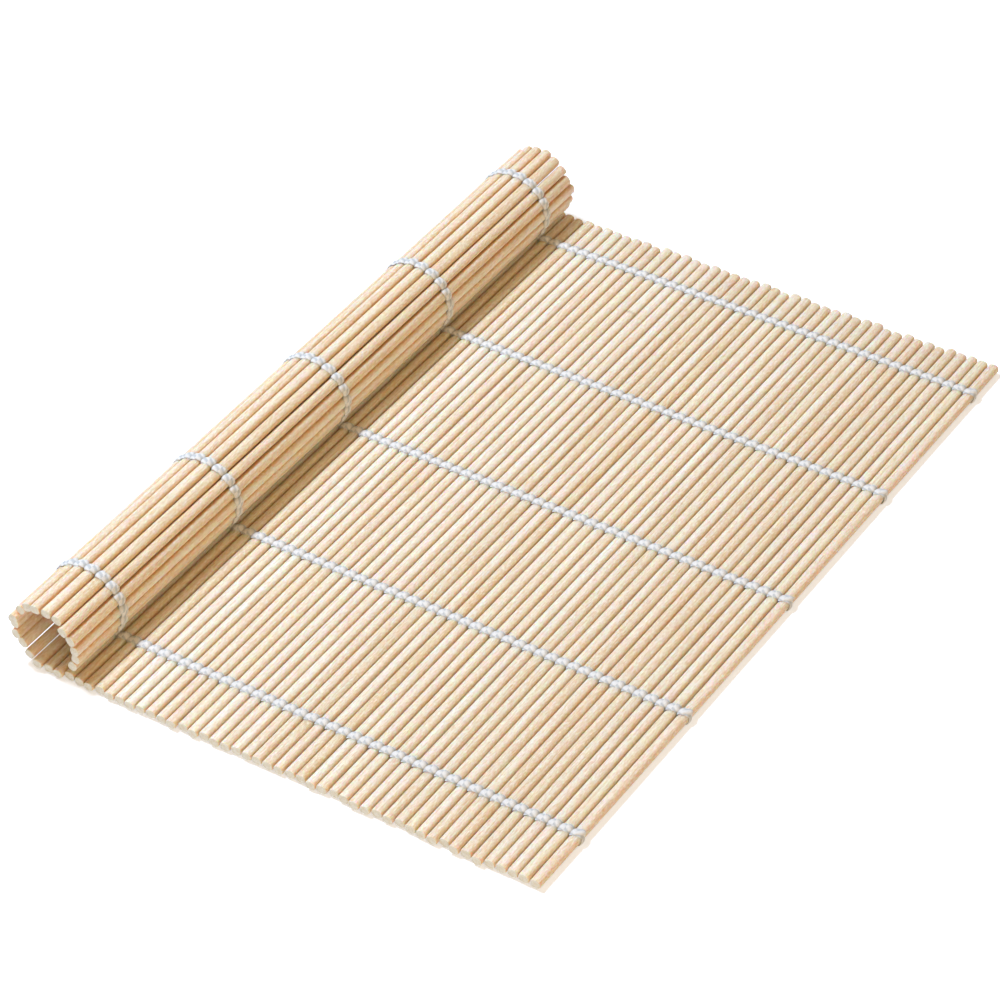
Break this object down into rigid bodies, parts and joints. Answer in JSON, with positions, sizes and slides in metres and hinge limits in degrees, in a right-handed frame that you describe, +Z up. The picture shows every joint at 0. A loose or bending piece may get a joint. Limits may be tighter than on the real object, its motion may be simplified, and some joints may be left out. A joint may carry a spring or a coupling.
{
  "type": "rolling mat",
  "caption": "Rolling mat of slim bamboo slats bound side by side by twined cotton strings, curled into a ring at one end.",
  "frame": {"origin": "middle of the bottom of the mat's outline, on the surface that it lies on", "axes": "+X from the curled end towards the free edge, along the strings; +Y along the slats; +Z up"},
  "size_m": [0.1669, 0.24, 0.024],
  "materials": {
    "bamboo": "smooth dry bamboo, untreated",
    "cotton": "twisted white cotton string"
  },
  "bodies": {
    "slat_01_02": {"slat_01_02": "bamboo", "string_1": "cotton", "string_2": "cotton", "string_3": "cotton", "string_4": "cotton", "string_5": "cotton"},
    "slat_03_04": {"slat_03_04": "bamboo"},
    "slat_05_06": {"slat_05_06": "bamboo"},
    "slat_07_08": {"slat_07_08": "bamboo"},
    "slat_09_10": {"slat_09_10": "bamboo"},
    "slat_11_12": {"slat_11_12": "bamboo"},
    "slat_13_14": {"slat_13_14": "bamboo"},
    "slat_15": {"slat_15": "bamboo"},
    "slat_16": {"slat_16": "bamboo"},
    "slat_17": {"slat_17": "bamboo"},
    "slat_18": {"slat_18": "bamboo"},
    "slat_19": {"slat_19": "bamboo"},
    "slat_20": {"slat_20": "bamboo"},
    "slat_21": {"slat_21": "bamboo"},
    "slat_22": {"slat_22": "bamboo"},
    "slat_23": {"slat_23": "bamboo"},
    "slat_24": {"slat_24": "bamboo"},
    "slat_25": {"slat_25": "bamboo"},
    "slat_26": {"slat_26": "bamboo"},
    "slat_27": {"slat_27": "bamboo"},
    "slat_28": {"slat_28": "bamboo"},
    "slat_29": {"slat_29": "bamboo"},
    "slat_30": {"slat_30": "bamboo"},
    "slat_31": {"slat_31": "bamboo"},
    "slat_32": {"slat_32": "bamboo"},
    "slat_33": {"slat_33": "bamboo"},
    "slat_34": {"slat_34": "bamboo"},
    "slat_35": {"slat_35": "bamboo"},
    "slat_36": {"slat_36": "bamboo"},
    "slat_37": {"slat_37": "bamboo"},
    "slat_38": {"slat_38": "bamboo"},
    "slat_39": {"slat_39": "bamboo"},
    "slat_40": {"slat_40": "bamboo"},
    "slat_41": {"slat_41": "bamboo"},
    "slat_42": {"slat_42": "bamboo"},
    "slat_43": {"slat_43": "bamboo"},
    "slat_44": {"slat_44": "bamboo"},
    "slat_45": {"slat_45": "bamboo"},
    "slat_46": {"slat_46": "bamboo"},
    "slat_47": {"slat_47": "bamboo"},
    "slat_48": {"slat_48": "bamboo"},
    "slat_49": {"slat_49": "bamboo"},
    "slat_50": {"slat_50": "bamboo"},
    "slat_51": {"slat_51": "bamboo"},
    "slat_52": {"slat_52": "bamboo"},
    "slat_53": {"slat_53": "bamboo"},
    "slat_54": {"slat_54": "bamboo"},
    "slat_55": {"slat_55": "bamboo"},
    "slat_56": {"slat_56": "bamboo"},
    "slat_57": {"slat_57": "bamboo"},
    "slat_58": {"slat_58": "bamboo"},
    "slat_59": {"slat_59": "bamboo"},
    "slat_60": {"slat_60": "bamboo"},
    "slat_61": {"slat_61": "bamboo"},
    "slat_62": {"slat_62": "bamboo"}
  },
  "joints": [
    {"name": "gap_02", "type": "hinge", "parent": "slat_01_02", "child": "slat_03_04", "pos_m": [0.07642, 0, 0.00185], "axis": [0, 1, 0], "range_deg": [0, 24.5], "deforming": ["string_1", "string_2", "string_3", "string_4", "string_5"]},
    {"name": "gap_04", "type": "hinge", "parent": "slat_03_04", "child": "slat_05_06", "pos_m": [0.06965, 0, 0.00185], "axis": [0, 1, 0], "range_deg": [0, 23.5], "deforming": ["string_1", "string_2", "string_3", "string_4", "string_5"]},
    {"name": "gap_06", "type": "hinge", "parent": "slat_05_06", "child": "slat_07_08", "pos_m": [0.06296, 0, 0.00185], "axis": [0, 1, 0], "range_deg": [0, 22.5], "deforming": ["string_1", "string_2", "string_3", "string_4", "string_5"]},
    {"name": "gap_08", "type": "hinge", "parent": "slat_07_08", "child": "slat_09_10", "pos_m": [0.05614, 0, 0.00185], "axis": [0, 1, 0], "range_deg": [0, 20.5], "deforming": ["string_1", "string_2", "string_3", "string_4", "string_5"]},
    {"name": "gap_10", "type": "hinge", "parent": "slat_09_10", "child": "slat_11_12", "pos_m": [0.04923, 0, 0.00185], "axis": [0, 1, 0], "range_deg": [0, 18], "deforming": ["string_1", "string_2", "string_3", "string_4", "string_5"]},
    {"name": "gap_12", "type": "hinge", "parent": "slat_11_12", "child": "slat_13_14", "pos_m": [0.04244, 0, 0.00185], "axis": [0, 1, 0], "range_deg": [0, 15.5], "deforming": ["string_1", "string_2", "string_3", "string_4", "string_5"]},
    {"name": "gap_14", "type": "hinge", "parent": "slat_13_14", "child": "slat_15", "pos_m": [0.03575, 0, 0.00185], "axis": [0, 1, 0], "range_deg": [0, 12.5], "deforming": ["string_1", "string_2", "string_3", "string_4", "string_5"]},
    {"name": "gap_15", "type": "hinge", "parent": "slat_15", "child": "slat_16", "pos_m": [0.03221, 0, 0.00185], "axis": [0, 1, 0], "range_deg": [0, 10.5], "deforming": ["string_1", "string_2", "string_3", "string_4", "string_5"]},
    {"name": "gap_16", "type": "hinge", "parent": "slat_16", "child": "slat_17", "pos_m": [0.02896, 0, 0.00185], "axis": [0, 1, 0], "range_deg": [0, 9], "deforming": ["string_1", "string_2", "string_3", "string_4", "string_5"]},
    {"name": "gap_17", "type": "hinge", "parent": "slat_17", "child": "slat_18", "pos_m": [0.02548, 0, 0.00185], "axis": [0, 1, 0], "range_deg": [0, 9], "deforming": ["string_1", "string_2", "string_3", "string_4", "string_5"]},
    {"name": "gap_18", "type": "hinge", "parent": "slat_18", "child": "slat_19", "pos_m": [0.02205, 0, 0.00185], "axis": [0, 1, 0], "range_deg": [0, 10], "deforming": ["string_1", "string_2", "string_3", "string_4", "string_5"]},
    {"name": "gap_19", "type": "hinge", "parent": "slat_19", "child": "slat_20", "pos_m": [0.01877, 0, 0.00185], "axis": [0, 1, 0], "range_deg": [0, 11], "deforming": ["string_1", "string_2", "string_3", "string_4", "string_5"]},
    {"name": "gap_20", "type": "hinge", "parent": "slat_20", "child": "slat_21", "pos_m": [0.01522, 0, 0.00185], "axis": [0, 1, 0], "range_deg": [0, 12], "deforming": ["string_1", "string_2", "string_3", "string_4", "string_5"]},
    {"name": "gap_21", "type": "hinge", "parent": "slat_21", "child": "slat_22", "pos_m": [0.01192, 0, 0.00185], "axis": [0, 1, 0], "range_deg": [0, 13], "deforming": ["string_1", "string_2", "string_3", "string_4", "string_5"]},
    {"name": "gap_22", "type": "hinge", "parent": "slat_22", "child": "slat_23", "pos_m": [0.00853, 0, 0.00185], "axis": [0, 1, 0], "range_deg": [0, 13.5], "deforming": ["string_1", "string_2", "string_3", "string_4", "string_5"]},
    {"name": "gap_23", "type": "hinge", "parent": "slat_23", "child": "slat_24", "pos_m": [0.00502, 0, 0.00185], "axis": [0, 1, 0], "range_deg": [0, 13], "deforming": ["string_1", "string_2", "string_3", "string_4", "string_5"]},
    {"name": "gap_24", "type": "hinge", "parent": "slat_24", "child": "slat_25", "pos_m": [0.00177, 0, 0.00185], "axis": [0, 1, 0], "range_deg": [0, 13], "deforming": ["string_1", "string_2", "string_3", "string_4", "string_5"]},
    {"name": "gap_25", "type": "hinge", "parent": "slat_25", "child": "slat_26", "pos_m": [-0.00174, 0, 0.00185], "axis": [0, 1, 0], "range_deg": [0, 12.5], "deforming": ["string_1", "string_2", "string_3", "string_4", "string_5"]},
    {"name": "gap_26", "type": "hinge", "parent": "slat_26", "child": "slat_27", "pos_m": [-0.00513, 0, 0.00185], "axis": [0, 1, 0], "range_deg": [0, 11.5], "deforming": ["string_1", "string_2", "string_3", "string_4", "string_5"]},
    {"name": "gap_27", "type": "hinge", "parent": "slat_27", "child": "slat_28", "pos_m": [-0.00844, 0, 0.00185], "axis": [0, 1, 0], "range_deg": [0, 11], "deforming": ["string_1", "string_2", "string_3", "string_4", "string_5"]},
    {"name": "gap_28", "type": "hinge", "parent": "slat_28", "child": "slat_29", "pos_m": [-0.01198, 0, 0.00185], "axis": [0, 1, 0], "range_deg": [0, 10.5], "deforming": ["string_1", "string_2", "string_3", "string_4", "string_5"]},
    {"name": "gap_29", "type": "hinge", "parent": "slat_29", "child": "slat_30", "pos_m": [-0.01526, 0, 0.00185], "axis": [0, 1, 0], "range_deg": [0, 10.5], "deforming": ["string_1", "string_2", "string_3", "string_4", "string_5"]},
    {"name": "gap_30", "type": "hinge", "parent": "slat_30", "child": "slat_31", "pos_m": [-0.01869, 0, 0.00185], "axis": [0, 1, 0], "range_deg": [0, 10], "deforming": ["string_1", "string_2", "string_3", "string_4", "string_5"]},
    {"name": "gap_31", "type": "hinge", "parent": "slat_31", "child": "slat_32", "pos_m": [-0.02217, 0, 0.00185], "axis": [0, 1, 0], "range_deg": [0, 10], "deforming": ["string_1", "string_2", "string_3", "string_4", "string_5"]},
    {"name": "gap_32", "type": "hinge", "parent": "slat_32", "child": "slat_33", "pos_m": [-0.02543, 0, 0.00185], "axis": [0, 1, 0], "range_deg": [0, 10.5], "deforming": ["string_1", "string_2", "string_3", "string_4", "string_5"]},
    {"name": "gap_33", "type": "hinge", "parent": "slat_33", "child": "slat_34", "pos_m": [-0.02896, 0, 0.00185], "axis": [0, 1, 0], "range_deg": [0, 10.5], "deforming": ["string_1", "string_2", "string_3", "string_4", "string_5"]},
    {"name": "gap_34", "type": "hinge", "parent": "slat_34", "child": "slat_35", "pos_m": [-0.03231, 0, 0.00185], "axis": [0, 1, 0], "range_deg": [0, 11], "deforming": ["string_1", "string_2", "string_3", "string_4", "string_5"]},
    {"name": "gap_35", "type": "hinge", "parent": "slat_35", "child": "slat_36", "pos_m": [-0.03565, 0, 0.00185], "axis": [0, 1, 0], "range_deg": [0, 12], "deforming": ["string_1", "string_2", "string_3", "string_4", "string_5"]},
    {"name": "gap_36", "type": "hinge", "parent": "slat_36", "child": "slat_37", "pos_m": [-0.03919, 0, 0.00185], "axis": [0, 1, 0], "range_deg": [0, 13], "deforming": ["string_1", "string_2", "string_3", "string_4", "string_5"]},
    {"name": "gap_37", "type": "hinge", "parent": "slat_37", "child": "slat_38", "pos_m": [-0.04244, 0, 0.00185], "axis": [0, 1, 0], "range_deg": [0, 14.5], "deforming": ["string_1", "string_2", "string_3", "string_4", "string_5"]},
    {"name": "gap_38", "type": "hinge", "parent": "slat_38", "child": "slat_39", "pos_m": [-0.04592, 0, 0.00185], "axis": [0, 1, 0], "range_deg": [0, 16.5], "deforming": ["string_1", "string_2", "string_3", "string_4", "string_5"]},
    {"name": "gap_39", "type": "hinge", "parent": "slat_39", "child": "slat_40", "pos_m": [-0.04935, 0, 0.00185], "axis": [0, 1, 0], "range_deg": [0, 19], "deforming": ["string_1", "string_2", "string_3", "string_4", "string_5"]},
    {"name": "gap_40", "type": "hinge", "parent": "slat_40", "child": "slat_41", "pos_m": [-0.05263, 0, 0.00185], "axis": [0, 1, 0], "range_deg": [0, 20.5], "deforming": ["string_1", "string_2", "string_3", "string_4", "string_5"]},
    {"name": "gap_41", "type": "hinge", "parent": "slat_41", "child": "slat_42", "pos_m": [-0.05617, 0, 0.00185], "axis": [0, 1, 0], "range_deg": [0, 18], "deforming": ["string_1", "string_2", "string_3", "string_4", "string_5"]},
    {"name": "gap_42", "type": "hinge", "parent": "slat_42", "child": "slat_43", "pos_m": [-0.05948, 0, 0.00185], "axis": [0, 1, 0], "range_deg": [0, 11], "deforming": ["string_1", "string_2", "string_3", "string_4", "string_5"]},
    {"name": "gap_43", "type": "hinge", "parent": "slat_43", "child": "slat_44", "pos_m": [-0.06287, 0, 0.00185], "axis": [0, 1, 0], "range_deg": [0, 2.5], "deforming": ["string_1", "string_2", "string_3", "string_4", "string_5"]},
    {"name": "gap_44", "type": "hinge", "parent": "slat_44", "child": "slat_45", "pos_m": [-0.06638, 0, 0.00185], "axis": [0, 1, 0], "range_deg": [0, 2], "deforming": ["string_1", "string_2", "string_3", "string_4", "string_5"]},
    {"name": "gap_45", "type": "hinge", "parent": "slat_45", "child": "slat_46", "pos_m": [-0.06963, 0, 0.00185], "axis": [0, 1, 0], "range_deg": [0, 2], "deforming": ["string_1", "string_2", "string_3", "string_4", "string_5"]},
    {"name": "gap_46", "type": "hinge", "parent": "slat_46", "child": "slat_47", "pos_m": [-0.07314, 0, 0.00185], "axis": [0, 1, 0], "range_deg": [-19.07, 0], "deforming": ["string_1", "string_2", "string_3", "string_4", "string_5"]},
    {"name": "gap_47", "type": "hinge", "parent": "slat_47", "child": "slat_48", "pos_m": [-0.07635, 0, 0.00296], "axis": [0, 1, 0], "range_deg": [-19.07, 0], "deforming": ["string_1", "string_2", "string_3", "string_4", "string_5"]},
    {"name": "gap_48", "type": "hinge", "parent": "slat_48", "child": "slat_49", "pos_m": [-0.07894, 0, 0.005], "axis": [0, 1, 0], "range_deg": [-19.07, 0], "deforming": ["string_1", "string_2", "string_3", "string_4", "string_5"]},
    {"name": "gap_49", "type": "hinge", "parent": "slat_49", "child": "slat_50", "pos_m": [-0.08086, 0, 0.00798], "axis": [0, 1, 0], "range_deg": [-19.07, 0], "deforming": ["string_1", "string_2", "string_3", "string_4", "string_5"]},
    {"name": "gap_50", "type": "hinge", "parent": "slat_50", "child": "slat_51", "pos_m": [-0.08164, 0, 0.01117], "axis": [0, 1, 0], "range_deg": [-19.07, 0], "deforming": ["string_1", "string_2", "string_3", "string_4", "string_5"]},
    {"name": "gap_51", "type": "hinge", "parent": "slat_51", "child": "slat_52", "pos_m": [-0.08132, 0, 0.01458], "axis": [0, 1, 0], "range_deg": [-19.07, 0], "deforming": ["string_1", "string_2", "string_3", "string_4", "string_5"]},
    {"name": "gap_52", "type": "hinge", "parent": "slat_52", "child": "slat_53", "pos_m": [-0.07988, 0, 0.01775], "axis": [0, 1, 0], "range_deg": [-19.07, 0], "deforming": ["string_1", "string_2", "string_3", "string_4", "string_5"]},
    {"name": "gap_53", "type": "hinge", "parent": "slat_53", "child": "slat_54", "pos_m": [-0.07764, 0, 0.02011], "axis": [0, 1, 0], "range_deg": [-19.07, 0], "deforming": ["string_1", "string_2", "string_3", "string_4", "string_5"]},
    {"name": "gap_54", "type": "hinge", "parent": "slat_54", "child": "slat_55", "pos_m": [-0.07451, 0, 0.02174], "axis": [0, 1, 0], "range_deg": [-19.07, 0], "deforming": ["string_1", "string_2", "string_3", "string_4", "string_5"]},
    {"name": "gap_55", "type": "hinge", "parent": "slat_55", "child": "slat_56", "pos_m": [-0.07119, 0, 0.02222], "axis": [0, 1, 0], "range_deg": [-19.07, 0], "deforming": ["string_1", "string_2", "string_3", "string_4", "string_5"]},
    {"name": "gap_56", "type": "hinge", "parent": "slat_56", "child": "slat_57", "pos_m": [-0.06791, 0, 0.0216], "axis": [0, 1, 0], "range_deg": [-19.07, 0], "deforming": ["string_1", "string_2", "string_3", "string_4", "string_5"]},
    {"name": "gap_57", "type": "hinge", "parent": "slat_57", "child": "slat_58", "pos_m": [-0.06484, 0, 0.01984], "axis": [0, 1, 0], "range_deg": [-19.07, 0], "deforming": ["string_1", "string_2", "string_3", "string_4", "string_5"]},
    {"name": "gap_58", "type": "hinge", "parent": "slat_58", "child": "slat_59", "pos_m": [-0.06269, 0, 0.01739], "axis": [0, 1, 0], "range_deg": [-19.07, 0], "deforming": ["string_1", "string_2", "string_3", "string_4", "string_5"]},
    {"name": "gap_59", "type": "hinge", "parent": "slat_59", "child": "slat_60", "pos_m": [-0.06139, 0, 0.01418], "axis": [0, 1, 0], "range_deg": [-19.07, 0], "deforming": ["string_1", "string_2", "string_3", "string_4", "string_5"]},
    {"name": "gap_60", "type": "hinge", "parent": "slat_60", "child": "slat_61", "pos_m": [-0.06121, 0, 0.01074], "axis": [0, 1, 0], "range_deg": [-19.07, 0], "deforming": ["string_1", "string_2", "string_3", "string_4", "string_5"]},
    {"name": "gap_61", "type": "hinge", "parent": "slat_61", "child": "slat_62", "pos_m": [-0.06212, 0, 0.0076], "axis": [0, 1, 0], "range_deg": [-19.07, 0], "deforming": ["string_1", "string_2", "string_3", "string_4", "string_5"]}
  ]
}
